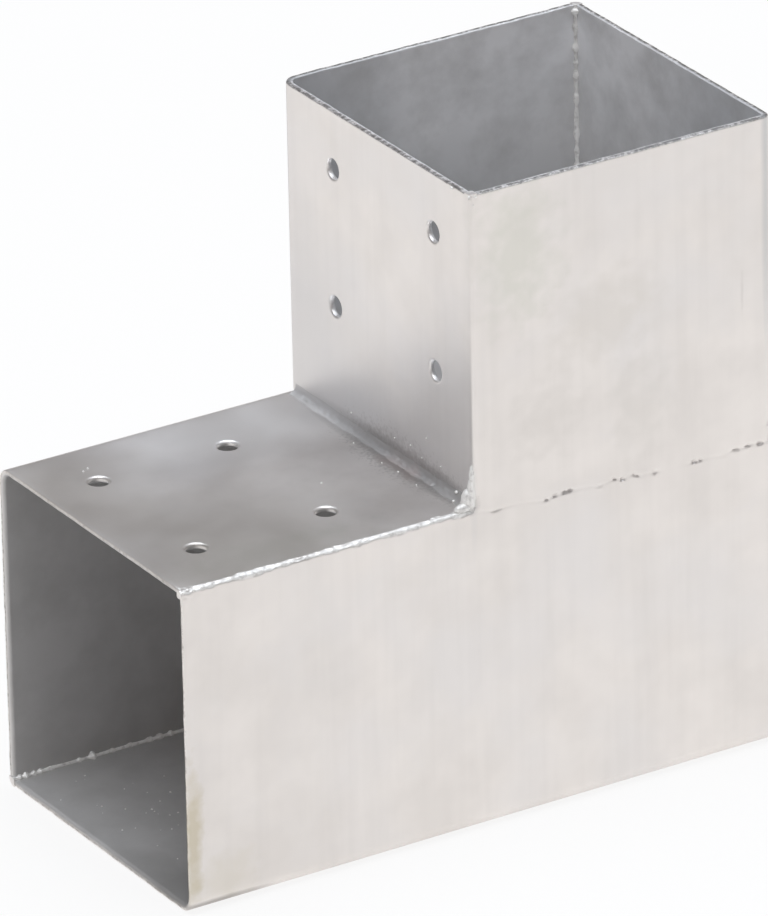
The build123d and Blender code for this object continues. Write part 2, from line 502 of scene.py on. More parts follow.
    def wall_grid(self, ends: Pair) -> tuple[np.ndarray, list[Face], np.ndarray, list[np.ndarray]]:
        """Lays the grid over the flat sheet, with rings of points round each hole.

        Args:
            ends: where the flat wall ends along the run.

        Returns:
            The flat points, the faces between them, the loop of points round the outline, and the
            loop at each hole.
        """
        lines = self.grid(ends)
        number = np.arange(lines[0].size * lines[1].size).reshape(lines[0].size, -1)
        flat = [np.stack(np.meshgrid(*lines, indexing="ij"), axis=-1).reshape(-1, 2)]
        keep = np.ones((lines[0].size - 1, lines[1].size - 1), bool)
        total = number.size
        quads: list[Face] = []
        loops: list[np.ndarray] = []
        block = self.hole_block
        reach = HOLE_RADIUS + self.form(EdgeForm.RIM)[0][0]
        for hole in self.holes:
            (a0, a1), (t0, t1) = (
                [int(np.argmin(np.abs(places - middle - d))) for d in (-block, block)]
                for places, middle in zip(lines, hole)
            )
            keep[a0:a1, t0:t1] = False
            ring = np.concatenate([
                number[a0:a1, t0], number[a1, t0:t1], number[a1:a0:-1, t1], number[a0, t1:t0:-1],
            ])
            square = flat[0][ring]
            spoke = square - hole
            circle = hole + spoke / np.linalg.norm(spoke, axis=1)[:, None] * reach
            for step in range(1, self.hole_rings + 1):
                share = 1 - (1 - step / self.hole_rings) ** 2
                flat.append(square * (1 - share) + circle * share)
                new_ring = np.arange(total, total + len(ring))
                total += len(ring)
                quads += band(ring, new_ring)
                ring = new_ring
            loops.append(ring)
        i, j = np.argwhere(keep).T
        quads += list(zip(number[i, j], number[i + 1, j], number[i + 1, j + 1], number[i, j + 1]))
        outline = np.concatenate([number[:-1, 0], number[-1, :-1], number[:0:-1, -1], number[0, :0:-1]])
        return np.concatenate(flat), quads, outline, loops

    def end_steps(self, outline: np.ndarray, ends: Pair) -> list[tuple[np.ndarray, ...]]:
        """Loops of points through the thickness of the sheet, all round its outline.

        Args:
            outline: the outline's flat points.
            ends: where the flat wall ends along the run.

        Returns:
            For each loop the places across and along, and the depths.
        """
        across, along = outline.T
        where = [np.isclose(along, end) for end in ends]
        profiles = (self.form(edge) for edge in (self.low_end, self.high_end, EdgeForm.BUTT))
        steps = []
        for low, high, side in list(zip(*profiles))[1:-1]:
            moved = np.select(where, [self.run[0] + low[0], self.run[1] - high[0]], along)
            steps.append((across, moved, np.select(where, [low[1], high[1]], side[1])))
        return steps

    def bore_steps(self, loop: np.ndarray, hole: Pair) -> list[tuple[np.ndarray, ...]]:
        """Loops of points down a hole.

        Args:
            loop: the flat points round the hole.
            hole: its middle on the flat sheet.

        Returns:
            For each loop the places across and along, and the depths.
        """
        spoke = loop - hole
        spoke = spoke / np.linalg.norm(spoke, axis=1)[:, None]
        rim = self.form(EdgeForm.RIM)[1:-1]
        return [
            (*(hole + spoke * (HOLE_RADIUS + inset)).T, np.full(len(loop), depth)) for inset, depth in rim
        ]

    def close(
        self, flat: np.ndarray, quads: list[Face], rims: list[tuple[np.ndarray, list]]
    ) -> tuple[tuple[np.ndarray, ...], list[Face]]:
        """Sets two walls a sheet's thickness apart and joins them at the outline and the holes.

        Args:
            flat: a wall's flat points.
            quads: the faces between them.
            rims: loops of flat points, each with its loops through the sheet.

        Returns:
            All places across and along and all depths, and all faces.
        """
        total = len(flat)
        places = [(*flat.T, np.full(total, depth)) for depth in (0.0, SHEET)]
        faces = quads + [tuple(v + total for v in quad) for quad in quads]
        used = 2 * total
        for ring, steps in rims:
            places += steps
            rings = [ring, *(used + np.arange(len(steps) * len(ring)).reshape(-1, len(ring))), ring + total]
            used += len(steps) * len(ring)
            for one, two in zip(rings, rings[1:]):
                faces += band(one, two)
        return tuple(np.concatenate(column) for column in zip(*places)), faces

    def build(self) -> bpy.types.Object:
        """Meshes the plate.

        Returns:
            The plate's object.
        """
        ends = self.run[0] + self.form(self.low_end)[0][0], self.run[1] - self.form(self.high_end)[0][0]
        flat, quads, outline, loops = self.wall_grid(ends)
        rims = [(outline, self.end_steps(flat[outline], ends))]
        rims += [(loop, self.bore_steps(flat[loop], hole)) for loop, hole in zip(loops, self.holes)]
        (across, along, depth), faces = self.close(flat, quads, rims)
        made = make_object(self.name, self.solid(across, along, depth), faces, self.SHARP)
        rim = self.rim_share(along)
        inside = smooth_step(depth, *self.INSIDE_DEPTHS)
        # Painted shade on the inside and the inner part of the cut ends, from its strength at the mouth to
        # that deep down
        deep = smooth_step(np.abs(along - self.mouth), 0.0, self.DEEP)
        inside_shade = self.inside_shade[0] + (self.inside_shade[1] - self.inside_shade[0]) * deep
        set_values(made, "cut_edge", rim)
        set_values(made, "grit", self.grit * rim)
        set_values(made, "inside", inside)
        set_values(made, "inside_shade", inside_shade * inside)
        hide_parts(self.node)
        return made


@dataclass
class WeldRun:
    """Weld metal as rings of points along its run, with drops and spatter beside it."""

    name: str
    node: str
    relief: Relief
    seed: int
    blobs: tuple[Blob, ...] = ()

    SHARP = radians(60)  # edges that turn by more are shaded sharp

    def skin_over(self, grid: np.ndarray, as_laid: np.ndarray) -> bpy.types.Object:
        """Closes rings of points into a solid with flat ends, and adds the blobs.

        Args:
            grid: the points, with stations first and the places round each ring next.
            as_laid: for each point, 0 where it is ground with the sheet, or 1 where it is left as laid.

        Returns:
            The weld's object.
        """
        number = np.arange(grid.shape[0] * grid.shape[1]).reshape(grid.shape[:2])
        faces = [face for one, two in zip(number, number[1:]) for face in band(one, two)]
        faces += [tuple(number[0]), tuple(number[-1])]
        points, laid = [grid.reshape(-1, 3)], [np.broadcast_to(as_laid, grid.shape[:2]).ravel()]
        ball, ball_faces = self.ball()
        for centre, radii in self.blobs:
            start = sum(len(part) for part in points)
            points.append(np.array(centre) * MM + ball * np.array(radii) * MM)
            laid.append(np.ones(len(ball)))
            faces += [tuple(start + corner for corner in face) for face in ball_faces]
        made = make_object(self.name, np.concatenate(points), faces, self.SHARP)
        set_values(made, "as_laid", np.concatenate(laid))
        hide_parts(self.node)
        return made

    def ball(self) -> tuple[np.ndarray, list[Face]]:
        """Shape of a small ball with a radius of 1.

        Returns:
            Its corners and its faces.
        """
        work = bmesh.new()
        bmesh.ops.create_icosphere(work, subdivisions=2, radius=1.0)
        corners = np.array([corner.co[:] for corner in work.verts])
        faces = [tuple(corner.index for corner in face.verts) for face in work.faces]
        work.free()
        return corners, faces


@dataclass
class CornerWeld(WeldRun):
    """Weld along an open corner of a sleeve: a bar that closes it, and root drops inside."""

    way: Way = Way.LYING
    corner: Pair = (0.0, 0.0)  # the sleeve's outside corner in its section
    inward: tuple[Pair, Pair] = ((0, 0), (0, 0))  # directions along the two walls from there
    run: Pair = (0.0, 0.0)
    ground_to: float = 0.0  # where along the run the joint weld starts to cover it
    rough: float = 0.0  # depth of the lumps on its bead
    bead: float = 0.0  # width of the bead left as laid beside the edge, or 0 where it is ground off
    round: float = CORNER_ROUND
    joint_lift: float = 0.5 * MM  # past the ground stretch, the corner reaches up into the joint weld
    root_low: float = 0.65 * MM  # reach of the root between its drops
    root_high: float = 1.0 * MM  # and on them
    drop_length: float = 2.6 * MM
    drops: tuple[Triple, ...] = ()
    step: float = 0.4 * MM

    ROUND_STEPS = 6
    ROOT_STEPS = 8
    FACE_STEPS = 7
    SLOW_SWELL = (0.7, 2.2)  # strength and length of the slower swelling, as shares of the drops'
    SLOW_SHIFT = 0.3  # shift in the noise, in metres, that makes it differ from the drops
    SWELL = (-0.2, 1.3)  # noise at which the root is at its low and its high
    END_TAPER = (-0.6 * MM, 1.6 * MM)  # distances from an end over which the root rises
    ROOT_GRAIN = (0.18, 1.0 * MM)  # strength and size of the lumps on the root
    GRAIN_SHIFT = np.array([0.0, 0.4 * MM, 0.0])  # from one line of the root to the next
    GRAIN_START = np.array([0.0, 0.0, 0.2])
    ROOT_LIP = 0.05 * MM  # the root reaches at least this far past the bar
    BEAD_LAYERS = ((0.7, 3.5 * MM), (0.3, 1.0 * MM))  # strength and length of the waves in the bead's width
    BEAD_EDGE = (-0.1 * MM, 0.35 * MM)  # distances past the bead's width over which it fades out
    LUMPS = ((1.0, 1.0 * MM), (0.8, 2.6 * MM))
    LUMP_RANGE = (-1.0, 1.2)  # noise at which the bead stands highest and lowest

    def build(self) -> bpy.types.Object:
        """Meshes the weld.

        Returns:
            The weld's object.
        """
        noise = ValueNoise(self.seed)
        along = stations(self.run, self.step)
        skin_outline = self.skin_outline(along)
        outline = skin_outline + self.root_outline(along, noise)
        ways = [np.array(way, float) for way in self.inward]
        rings = []
        for distances in outline:
            section = np.array(self.corner) + sum(d[:, None] * way for d, way in zip(distances, ways))
            rings.append(self.way.place(section[:, 0], section[:, 1], along))
        grid = np.stack(rings, axis=1)
        skin = grid[:, :len(skin_outline)]
        from_edge = np.stack([np.maximum(a, b) for a, b in skin_outline], axis=1)
        ragged = self.bead * (1 + noise.layers(skin, *self.BEAD_LAYERS))
        laid = 1 - smooth_step(from_edge - ragged, *self.BEAD_EDGE)
        laid = laid * (along < self.ground_to)[:, None] * (self.bead > 0)
        lumps = smooth_step(noise.layers(skin, *self.LUMPS), *self.LUMP_RANGE)
        sunk = self.relief.outside(skin) + self.rough * laid * lumps
        grid[:, :len(skin_outline)] = skin + self.skin_inward(*ways) * sunk[..., None]
        as_laid = np.ones(grid.shape[:2])
        as_laid[:, :len(skin_outline)] = laid
        return self.skin_over(grid, as_laid)

    def skin_outline(self, along: np.ndarray) -> list[tuple[np.ndarray, np.ndarray]]:
        """Outside of the weld, from one wall round the corner to the other.

        Args:
            along: the stations along the run.

        Returns:
            For each point of the outline its two distances from the corner, for every station.
        """
        past = along > self.ground_to
        radius = np.where(past, self.joint_lift, self.round)
        lift = np.where(past, self.joint_lift, 0.0)
        nothing, leg = along * 0, along * 0 + WELD_LEG
        shares = [k / self.FACE_STEPS for k in range(self.FACE_STEPS)]
        outline = [(leg + (radius - lift - leg) * share, nothing) for share in shares]
        for k in range(self.ROUND_STEPS + 1):
            turn = QUARTER * k / self.ROUND_STEPS
            outline.append((radius * (1 - sin(turn)) - lift, radius * (1 - cos(turn))))
        return outline + [(-lift * share, leg + (radius - leg) * share) for share in reversed(shares)]

    def root_outline(self, along: np.ndarray, noise: ValueNoise) -> list[tuple[np.ndarray, np.ndarray]]:
        """Inside of the weld: the row of root drops between the two walls.

        Args:
            along: the stations along the run.
            noise: the weld's noise.

        Returns:
            For each point of the outline its two distances from the corner, for every station.
        """
        line = points_at(along, 0.0, 0.0)
        strength, length = self.SLOW_SWELL
        swell = noise.at(line, self.drop_length)
        swell = swell + strength * noise.at(line + self.SLOW_SHIFT, self.drop_length * length)
        root = self.root_low + (self.root_high - self.root_low) * smooth_step(swell, *self.SWELL)
        for place, length, height in self.drops:
            share = 1 - np.minimum(((along - place * MM) / (length / 2 * MM)) ** 2, 1)
            root = np.maximum(root, height * MM * np.sqrt(share))
        from_end = np.minimum(along - self.run[0], self.run[1] - along)
        root = root * smooth_step(from_end, *self.END_TAPER)
        leg = along * 0 + WELD_LEG
        outline = [(along * 0 + SHEET, leg)]
        strength, size = self.ROOT_GRAIN
        for k in range(self.ROOT_STEPS + 1):
            turn = QUARTER * k / self.ROOT_STEPS
            reach = root
            if 0 < k < self.ROOT_STEPS:
                place = line + self.GRAIN_START + k * self.GRAIN_SHIFT
                reach = root * (1 + strength * noise.at(place, size))
            reach = np.maximum(reach, WELD_LEG - SHEET + self.ROOT_LIP)
            outline.append((SHEET + reach * sin(turn), SHEET + reach * cos(turn)))
        return outline + [(leg, along * 0 + SHEET)]

    def skin_inward(self, p: np.ndarray, q: np.ndarray) -> np.ndarray:
        """Directions into the weld from the points of its outside.

        Args:
            p: direction of the first distance from the corner.
            q: direction of the second distance.

        Returns:
            A unit direction in space for each point of the outline.
        """
        turns = [QUARTER * k / self.ROUND_STEPS for k in range(self.ROUND_STEPS + 1)]
        turns = [0.0] * self.FACE_STEPS + turns + [QUARTER] * self.FACE_STEPS
        a, b = np.array([q * cos(turn) + p * sin(turn) for turn in turns]).T
        return self.way.place(a, b, 0.0)


@dataclass
class BevelWeld(WeldRun):
    """Joint weld round the front and right of the post sleeve: fills its bevel, ground flush."""

    plate: AnglePlate | None = None  # the plate whose bevelled end it fills
    step: float = 0.5 * MM

    STEPS = 4

    def build(self) -> bpy.types.Object:
        """Meshes the weld.

        Returns:
            The weld's object.
        """
        plate = self.plate
        zone = (plate.first, plate.second, plate.bend_run / plate.BEND_STEPS)
        across = grid_lines(0.0, plate.width, self.step, [zone])
        shares = [k / self.STEPS * JOINT_BEVEL for k in range(self.STEPS)]
        outline = [(0.0, share) for share in shares]
        outline += [(share, JOINT_BEVEL - share) for share in shares]
        outline += [(JOINT_BEVEL - share, 0.0) for share in shares]
        rings = [
            plate.solid(across, np.full(across.shape, plate.run[0] + up), np.full(across.shape, depth))
            for depth, up in outline
        ]
        return self.skin_over(np.stack(rings, axis=1), np.zeros(1))


@dataclass
class FilletWeld(WeldRun):
    """Hollow fillet in the inner corner of the L, with a bright lump at its front end."""

    x: float = 0.0  # the post sleeve's left wall
    z: float = 0.0  # the beam sleeve's top
    run: Pair = (0.0, 0.0)
    leg: float = 2.4 * MM
    lump: float = 3.6 * MM  # its leg at the lump
    lump_reach: float = 3.0 * MM
    matt: float = 1.0  # its finish, as a share of a sleeve's inside
    # share of painted shade laid on it, standing for the shade in the inner corner
    darker_tone: float = 0.9
    uneven: float = 0.12
    grain: float = 0.10 * MM
    step: float = 0.4 * MM

    ARC_STEPS = 11
    BURIED = 0.3 * MM  # how far the fillet's root lies in the walls
    WAVE = 5.0 * MM  # length of the waves in its legs
    GRAIN = 1.0 * MM
    WAVE_SHIFT = 0.2  # shift in the noise for each radian round its arc, so that its legs differ
    GRAIN_SHIFT = 3.0 * MM
    LUMP_FILL = 0.5  # how far the lump fills the hollow
    LAID = (0.15, 0.6)  # nearness to the lump at which its bright finish starts and is full

    def build(self) -> bpy.types.Object:
        """Meshes the weld.

        Returns:
            The weld's object.
        """
        noise = ValueNoise(self.seed)
        along = stations(self.run, self.step)
        line = points_at(0.0, along, 0.0)
        near = np.exp(-(((along - self.run[0]) / self.lump_reach) ** 2))
        foot = self.relief.outside(points_at(self.x - self.leg, along, self.z))
        side = self.relief.outside(points_at(self.x, along, self.z + self.leg))
        rings = [points_at(self.x + self.BURIED, along, self.z - self.BURIED)]
        for k in range(self.ARC_STEPS):
            turn = QUARTER * k / (self.ARC_STEPS - 1)
            middle = sin(2 * turn)
            wave = noise.at(line + np.array([0.0, 0.0, self.WAVE_SHIFT]) * turn, self.WAVE)
            leg = self.leg * (1 + self.uneven * wave) + (self.lump - self.leg) * near
            hollow = 1 - self.LUMP_FILL * near * middle
            grain = self.grain * noise.at(line + np.array([0.0, 0.0, self.GRAIN_SHIFT]) * turn, self.GRAIN)
            out = leg * (1 - sin(turn) * hollow) + grain * middle
            up = leg * (1 - cos(turn) * hollow) + grain * middle
            rings.append(points_at(self.x + side - out, along, self.z - foot + up))
        laid = smooth_step(near, *self.LAID)
        made = self.skin_over(np.stack(rings, axis=1), laid[:, None])
        # The fillet takes the inside's finish and its painted shade
        for name, share in (("inside", self.matt), ("inside_shade", self.darker_tone)):
            set_values(made, name, np.full(len(made.data.vertices), share))
        return made


@dataclass
class FlareWeld(WeldRun):
    """Joint weld at the back: fills the hollow over the bend of the beam sleeve."""

    run: Pair = (0.0, 0.0)
    back: float = 0.0
    end: float = 0.0  # the post sleeve's right side
    z: float = 0.0  # the beam sleeve's top
    root: float = 2.8 * MM  # how far in from the back it reaches over the bend
    depth: float = 3.0 * MM  # how far down it reaches
    rough: float = 0.3 * MM  # depth of the lumps on its face
    step: float = 0.5 * MM

    STEPS = 6
    LUMPS = ((1.0, 1.6 * MM), (1.0, 5.0 * MM))  # strength and size
    LUMP_RANGE = (-1.2, 1.4)  # noise at which the face stands highest and lowest
    THINNEST = 0.45 * MM

    def build(self) -> bpy.types.Object:
        """Meshes the weld.

        Returns:
            The weld's object.
        """
        noise = ValueNoise(self.seed)
        along = stations(self.run, self.step)
        centre_y, centre_z = self.back - BEND_OUTSIDE, self.z - BEND_OUTSIDE
        bent = np.clip(self.relief.step + BEND_OUTSIDE - along, 0, BEND_OUTSIDE)
        edge = centre_y + np.sqrt(BEND_OUTSIDE**2 - bent**2)  # the post sleeve's outside above it
        ground = np.clip(along - self.end + SOFT_ROUND, 0, SOFT_ROUND)
        edge = np.minimum(edge, self.back - SOFT_ROUND + np.sqrt(SOFT_ROUND**2 - ground**2))
        rings = []
        for k in range(self.STEPS + 1):
            z = self.z - self.depth * k / self.STEPS
            lumps = noise.layers(points_at(along, self.back, z), *self.LUMPS)
            lumps = smooth_step(lumps, *self.LUMP_RANGE)
            rings.append(points_at(along, edge - self.relief.zinc - self.rough * lumps, z))
        start = np.arcsin(1 - self.depth / BEND_OUTSIDE)
        end = np.arccos(1 - self.root / BEND_OUTSIDE)
        for k in range(self.STEPS + 1):
            turn = start + (end - start) * k / self.STEPS
            y, z = centre_y + BEND_OUTSIDE * cos(turn), centre_z + BEND_OUTSIDE * sin(turn)
            rings.append(points_at(along, np.minimum(y, edge - self.THINNEST), z))
        rings.append(points_at(along, centre_y + BEND_OUTSIDE * cos(end), self.z))
        return self.skin_over(np.stack(rings, axis=1), np.ones(1))


def linear(hex_colour: str) -> tuple[float, float, float, float]:
    """Turns an sRGB hex colour to linear values.

    Args:
        hex_colour: six hex digits, with or without a leading hash.

    Returns:
        Red, green, blue and an alpha of 1.
    """
    digits = hex_colour.lstrip("#")
    values = [int(digits[i:i + 2], 16) / 255 for i in (0, 2, 4)]
    toned = [v / 12.92 if v <= 0.04045 else ((v + 0.055) / 1.055) ** 2.4 for v in values]
    return toned[0], toned[1], toned[2], 1.0


def add_node(
    tree: bpy.types.NodeTree, kind: str, sockets: dict[str | int, object] | None = None, **settings: object
) -> bpy.types.Node:
    """Adds one node with its settings and its links.

    Args:
        tree: the node tree that it joins.
        kind: the node's type.
        sockets: for each input, a plain value or the output that feeds it.
        settings: the node's own properties.

    Returns:
        The new node.
    """
    node = tree.nodes.new(kind)
    for name, value in settings.items():
        setattr(node, name, value)
    for key, value in (sockets or {}).items():
        if isinstance(value, bpy.types.NodeSocket):
            tree.links.new(value, node.inputs[key])
        else:
            node.inputs[key].default_value = value
    return node


def empty_tree(block: bpy.types.Material | bpy.types.World) -> bpy.types.NodeTree:
    """Turns on the nodes of a material or the world and clears them.

    Args:
        block: the material or the world.

    Returns:
        Its empty node tree.
    """
    block.use_nodes = True
    block.node_tree.nodes.clear()
    return block.node_tree


@dataclass(frozen=True)
class Tint:
    """A colour laid over another where a pattern is strong."""

    colour: str
    strength: float = 1.0  # its share where it is full
    start: float = 0.0  # the pattern's value at which it starts
    full: float = 1.0  # the pattern's value at which it is full

    def lay(
        self, tree: bpy.types.NodeTree, pattern: bpy.types.NodeSocket, under: bpy.types.NodeSocket
    ) -> bpy.types.NodeSocket:
        """Lays the tint over a colour.

        Args:
            tree: the material's node tree.
            pattern: the pattern.
            under: the colour below.

        Returns:
            The mixed colour's socket.
        """
        share = add_node(
            tree, "ShaderNodeMapRange", {0: pattern, 1: self.start, 2: self.full, 3: 0.0, 4: self.strength}
        ).outputs[0]
        return add_node(
            tree, "ShaderNodeMix", {0: share, 6: under, 7: linear(self.colour)}, data_type="RGBA"
        ).outputs[2]


@dataclass(frozen=True)
class Patch:
    """A soft patch of another tone on the zinc, at a place on the bracket in millimetres."""

    centre: Triple
    reach: Triple
    colour: str
    strength: float
    ragged: float = 1.6  # 0 for a smooth edge
    cell: float = 6.0  # size of the raggedness

    START = 0.95  # share of its reach at which it starts
    FULL = 0.25  # share of its reach within which it is full

    def lay(
        self, tree: bpy.types.NodeTree, place: bpy.types.NodeSocket, under: bpy.types.NodeSocket
    ) -> bpy.types.NodeSocket:
        """Lays the patch over a colour.

        Args:
            tree: the material's node tree.
            place: the place on the bracket.
            under: the colour below.

        Returns:
            The mixed colour's socket.
        """
        shifted = add_node(
            tree, "ShaderNodeVectorMath", {0: place, 1: tuple(c * MM for c in self.centre)},
            operation="SUBTRACT",
        ).outputs[0]
        scaled = add_node(
            tree, "ShaderNodeVectorMath", {0: shifted, 1: tuple(1 / (r * MM) for r in self.reach)},
            operation="MULTIPLY",
        ).outputs[0]
        reach = add_node(tree, "ShaderNodeVectorMath", {0: scaled}, operation="LENGTH").outputs["Value"]
        ragged = add_node(
            tree, "ShaderNodeTexNoise", {"Vector": place, "Scale": 1 / (self.cell * MM), "Detail": 4.0}
        ).outputs["Fac"]
        uneven = add_node(
            tree, "ShaderNodeMath", {0: ragged, 1: self.ragged, 2: reach}, operation="MULTIPLY_ADD"
        ).outputs[0]
        middle = self.ragged / 2
        tint = Tint(self.colour, self.strength, self.START + middle, self.FULL + middle)
        return tint.lay(tree, uneven, under)


@dataclass(frozen=True)
class GalvanisedSheet:
    """Steel sheet, zinc coated after welding: satin grey, with soft clouds and faint streaks, and painted
    shade and light inside and in patches.
    """

    light: str = "#F5F2F0"
    dark: str = "#EAE7E5"
    cloud: float = 24 * MM
    cloud_range: Pair = (0.36, 0.64)  # noise at which the clouds are dark and light
    cool: Tint = Tint("#EDECED", 0.6, 0.45, 0.7)
    cool_scale: float = 0.7  # scale of the cool clouds, as a share of the others'
    cool_shift: Triple = (0.7, 0.2, 0.4)
    streak: Triple = (3.5 * MM, 3.5 * MM, 70 * MM)
    streaked: Tint = Tint("#A9A8A6", 0.05, 0.45, 0.75)
    metallic: float = 0.90  # the coat's dull oxide scatters the rest
    roughness: Pair = (0.38, 0.46)
    inside_roughness: float = 0.52  # the inside was never rubbed down
    inside_metallic: float = 0.42
    inside_tint: Tint = Tint("#FAFBFD", 0.8)
    # colour of the painted shade inside the sleeves and in the inner corner
    inside_shade: Tint = Tint("#B6B4B2")
    smear: float = 15 * MM
    smeared: Tint = Tint("#A6A5A3", 0.35, 0.40, 0.68)  # dull stains, on the inside alone
    grain: float = 0.5 * MM
    grain_depth: float = 0.012 * MM
    grit: float = 1.7 * MM  # spots along the cut edges
    grit_depth: float = 0.10 * MM
    edge_dark: Tint = Tint("#807E7C", 0.9, 0.28, 0.50)
    edge_light: Tint = Tint("#FBFAF9", 0.9, 0.50, 0.62)
    patches: tuple[Patch, ...] = (
        # Yellowish tint by the lower end of the open mouth
        Patch((-91.0, -47.5, 22.0), (4.0, 6.0, 26.0), "#CFC7B0", 0.7),
        Patch((-82.0, -47.5, 8.0), (14.0, 6.0, 10.0), "#DDD8C8", 0.3),
        # Greenish film on the post sleeve's front and by the mouth of the beam sleeve
        Patch((12.0, -47.5, 165.0), (16.0, 6.0, 26.0), "#DADDD4", 0.45),
        Patch((-62.0, -38.0, 95.0), (34.0, 9.0, 3.0), "#C6CCC2", 0.5),
        Patch((40.0, -47.5, 140.0), (22.0, 6.0, 16.0), "#E2DFDA", 0.4),
        Patch((20.0, -47.5, 115.0), (14.0, 6.0, 12.0), "#DFDCD9", 0.4),
        Patch((50.0, -47.5, 112.0), (12.0, 6.0, 20.0), "#E0DEDB", 0.4),
        # Painted shade on the beam sleeve's top, on its bottom wall by the mouth and at the foot and back
        # of the post sleeve's left wall, and a painted pool of light on the back of the beam sleeve's top
        Patch((-66.0, -46.0, 95.0), (62.0, 78.0, 1.6), "#CCC8C2", 0.8, 0.3, 20.0),
        # painted pool of light on the back of the beam sleeve's top, by the joint
        Patch((-30.0, 30.0, 95.0), (50.0, 26.0, 1.6), "#FFFFFF", 0.8, 0.3, 20.0),
        Patch((-88.0, -38.0, 2.0), (26.0, 36.0, 1.8), "#908E8C", 0.7, 0.6, 12.0),
        Patch((-92.0, 22.0, 95.0), (42.0, 52.0, 1.6), "#D5D1CB", 0.6, 0.3, 20.0),
        Patch((-2.5, -8.0, 95.0), (2.0, 60.0, 28.0), "#D2D3D6", 0.5, 0.3, 20.0),
        Patch((-2.5, 36.0, 112.0), (2.0, 44.0, 52.0), "#DCDCDE", 0.7, 0.3, 20.0),
        # Fine dark grain along the inner corner of the L, and painted shade in the hollow of its fillet and
        # on the walls beside it
        Patch((-4.0, -10.0, 96.5), (7.0, 28.0, 7.0), "#B9B6B5", 0.5, 2.2, 1.0),
        Patch((-3.0, -34.0, 96.0), (5.0, 14.0, 5.0), "#BFBCBA", 0.4, 2.2, 0.9),
        Patch((-3.5, -10.0, 96.0), (4.5, 62.0, 4.5), "#8F8E8E", 0.55, 0.3, 20.0),
        # Painted shade on the post sleeve's inside, low down, at the left of its back and on its right wall
        Patch((2.0, 45.3, 165.0), (42.0, 1.9, 64.0), "#A8ABAF", 0.6, 0.3, 20.0),
        Patch((40.0, 45.3, 122.0), (62.0, 1.9, 40.0), "#A8ABAF", 0.5, 0.3, 20.0),
        Patch((90.3, -34.0, 168.0), (1.9, 50.0, 60.0), "#C4C7CB", 0.6, 0.3, 20.0),
        # Scratch near the right of the post sleeve's front
        Patch((82.5, -47.5, 135.5), (0.7, 6.0, 7.0), "#D9D6D4", 0.4),
        # Pinkish smudge beside the fillet in the inner corner
        Patch((-5.0, -14.0, 95.0), (4.0, 16.0, 4.0), "#C8B9B6", 0.45),
    )

    def make(self) -> bpy.types.Material:
        """Builds the material.

        Returns:
            The node material.
        """
        material = bpy.data.materials.new("galvanised_sheet_steel")
        tree = empty_tree(material)
        add_node(tree, "ShaderNodeOutputMaterial", {"Surface": self.shader(tree)})
        return material

    def shader(self, tree: bpy.types.NodeTree) -> bpy.types.NodeSocket:
        """Adds the zinc's nodes.

        Args:
            tree: the material's node tree.

        Returns:
            The shader's socket.
        """
        place = add_node(tree, "ShaderNodeTexCoord").outputs["Object"]
        edge, grit, inside, inside_shade = (
            add_node(tree, "ShaderNodeAttribute", attribute_name=name).outputs["Fac"]
            for name in ("cut_edge", "grit", "inside", "inside_shade")
        )
        clouds = add_node(
            tree, "ShaderNodeTexNoise",
            {"Vector": place, "Scale": 1 / self.cloud, "Detail": 3.0, "Roughness": 0.5},
        ).outputs["Fac"]
        tone = add_node(
            tree, "ShaderNodeMapRange", {0: clouds, 1: self.cloud_range[0], 2: self.cloud_range[1]}
        ).outputs[0]
        colour = add_node(
            tree, "ShaderNodeMix", {0: tone, 6: linear(self.dark), 7: linear(self.light)}, data_type="RGBA"
        ).outputs[2]
        cool_place = add_node(
            tree, "ShaderNodeVectorMath", {0: place, 1: self.cool_shift}, operation="ADD"
        ).outputs[0]
        cool_clouds = add_node(
            tree, "ShaderNodeTexNoise", {"Vector": cool_place, "Scale": self.cool_scale / self.cloud}
        ).outputs["Fac"]
        stretched = add_node(
            tree, "ShaderNodeVectorMath", {0: place, 1: tuple(1 / s for s in self.streak)},
            operation="MULTIPLY",
        ).outputs[0]
        streaks = add_node(
            tree, "ShaderNodeTexNoise", {"Vector": stretched, "Scale": 1.0, "Detail": 2.0}
        ).outputs["Fac"]
        spots = add_node(
            tree, "ShaderNodeTexNoise",
            {"Vector": place, "Scale": 1 / self.grit, "Detail": 4.0, "Roughness": 0.7},
        ).outputs["Fac"]
        dark_spots = add_node(tree, "ShaderNodeMath", {0: grit, 1: spots}, operation="MULTIPLY").outputs[0]
        light_spots = add_node(tree, "ShaderNodeMath", {0: edge, 1: spots}, operation="SUBTRACT").outputs[0]
